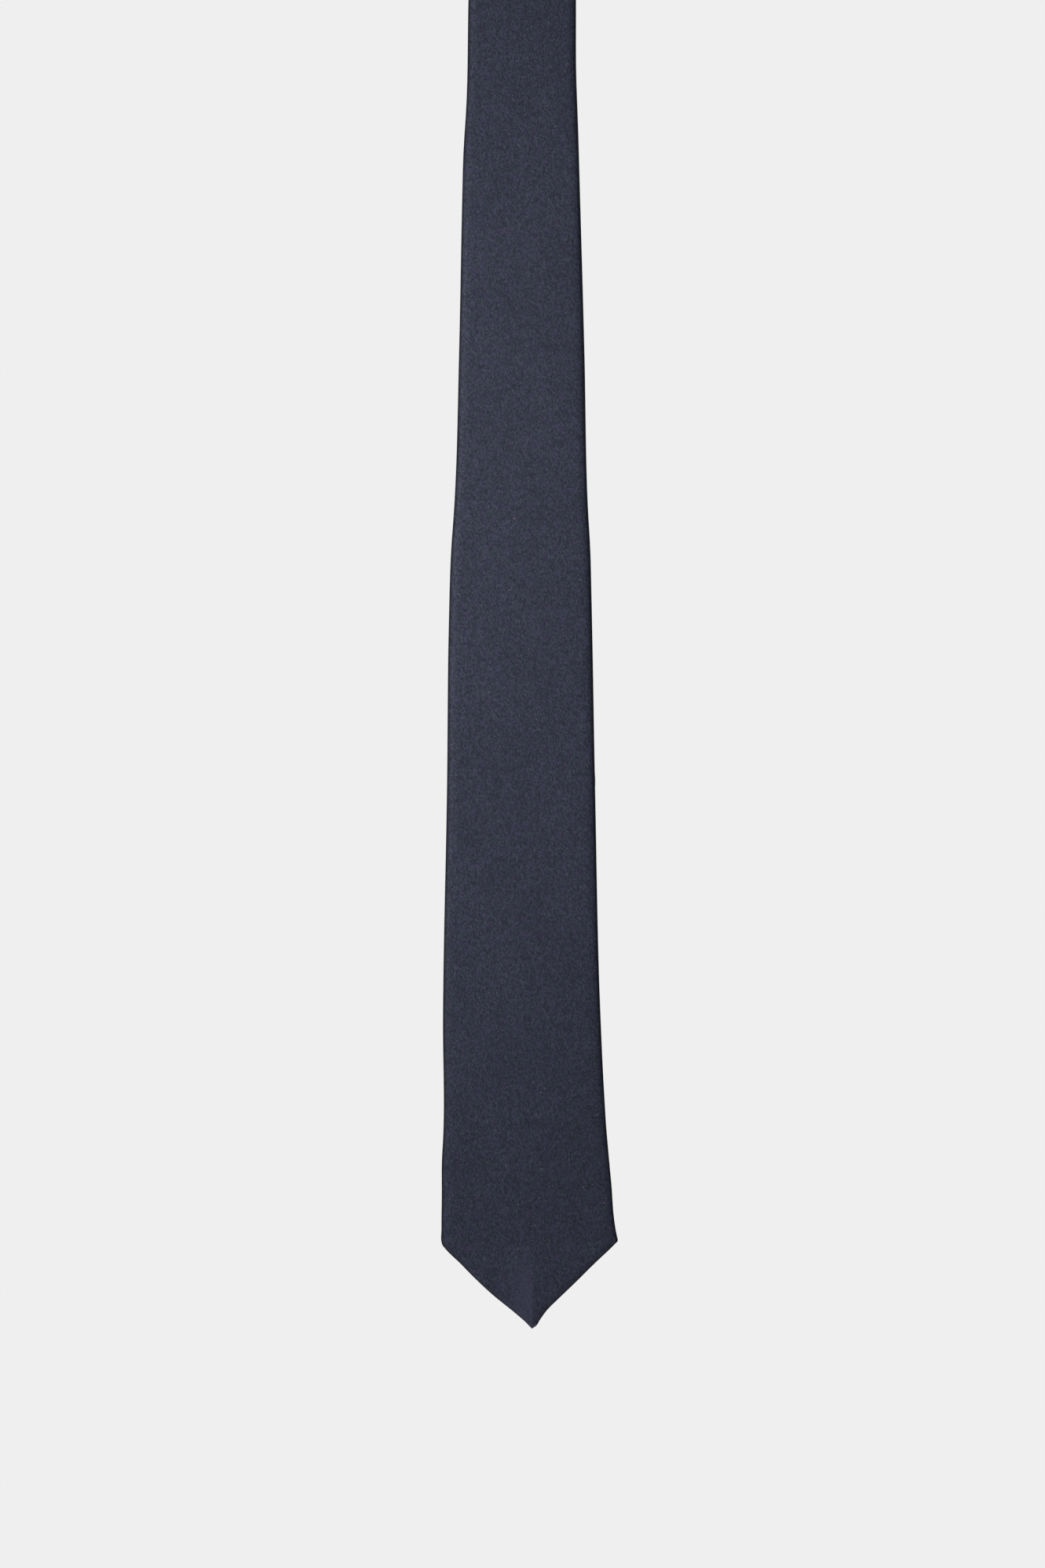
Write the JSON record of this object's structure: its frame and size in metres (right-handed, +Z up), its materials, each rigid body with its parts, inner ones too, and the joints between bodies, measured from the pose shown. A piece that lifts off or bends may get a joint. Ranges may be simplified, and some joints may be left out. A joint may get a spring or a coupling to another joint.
{
  "type": "necktie",
  "caption": "Slim satin necktie hung doubled over a rail, with a pointed wide blade, a narrow tail, a keeper loop and blank labels on the back.",
  "frame": {"origin": "on the inside of the fold, midway across its width, where the top of the hanger rail touches it", "axes": "+Z up along the hanging tie, +X across the blade to the wearer's left, +Y from the blade's front towards the tail"},
  "size_m": [0.06, 0.0204, 0.8641],
  "materials": {
    "shell_satin": "navy satin twill, soft sheen",
    "lining_satin": "smooth navy lining satin",
    "interlining_wool": "brushed undyed wool",
    "navy_thread": "twisted sewing thread",
    "maker_label_satin": "blank woven label satin",
    "care_label_satin": "blank white label satin"
  },
  "bodies": {
    "neck": {"neck_shell": "shell_satin", "neck_interlining": "interlining_wool", "neck_slip_stitch": "navy_thread", "front_piecing_stitch": "navy_thread", "back_piecing_stitch": "navy_thread"},
    "blade": {"blade_shell": "shell_satin", "blade_interlining": "interlining_wool", "blade_tipping": "lining_satin", "blade_tipping_stitch": "navy_thread", "blade_slip_stitch": "navy_thread", "blade_spare_loop": "navy_thread", "blade_bar_tack": "navy_thread", "keeper_tack_left": "navy_thread", "keeper_tack_right": "navy_thread", "maker_label": "maker_label_satin", "maker_label_stitch_left": "navy_thread", "maker_label_stitch_right": "navy_thread", "care_label_stitch": "navy_thread"},
    "keeper": {"keeper_loop": "shell_satin"},
    "care_label": {"care_label": "care_label_satin"},
    "tail": {"tail_shell": "shell_satin", "tail_interlining": "interlining_wool", "tail_tipping": "lining_satin", "tail_tipping_stitch": "navy_thread", "tail_slip_stitch": "navy_thread", "tail_spare_loop": "navy_thread", "tail_bar_tack": "navy_thread"}
  },
  "joints": [
    {"name": "blade_swing", "type": "hinge", "parent": "neck", "child": "blade", "pos_m": [0, -0.0101, -0.18], "axis": [-1, 0, 0], "range_deg": [0, 150]},
    {"name": "tail_swing", "type": "hinge", "parent": "neck", "child": "tail", "pos_m": [0, 0.0101, -0.18], "axis": [1, 0, 0], "range_deg": [0, 150]},
    {"name": "keeper_lift", "type": "slide", "parent": "blade", "child": "keeper", "axis": [0, 1, 0], "range_m": [0, 0.003], "stiffness_N_per_m": 10},
    {"name": "care_label_flip", "type": "hinge", "parent": "blade", "child": "care_label", "pos_m": [0.009, -0.0055, -0.692], "axis": [1, 0, 0], "range_deg": [0, 120]}
  ]
}
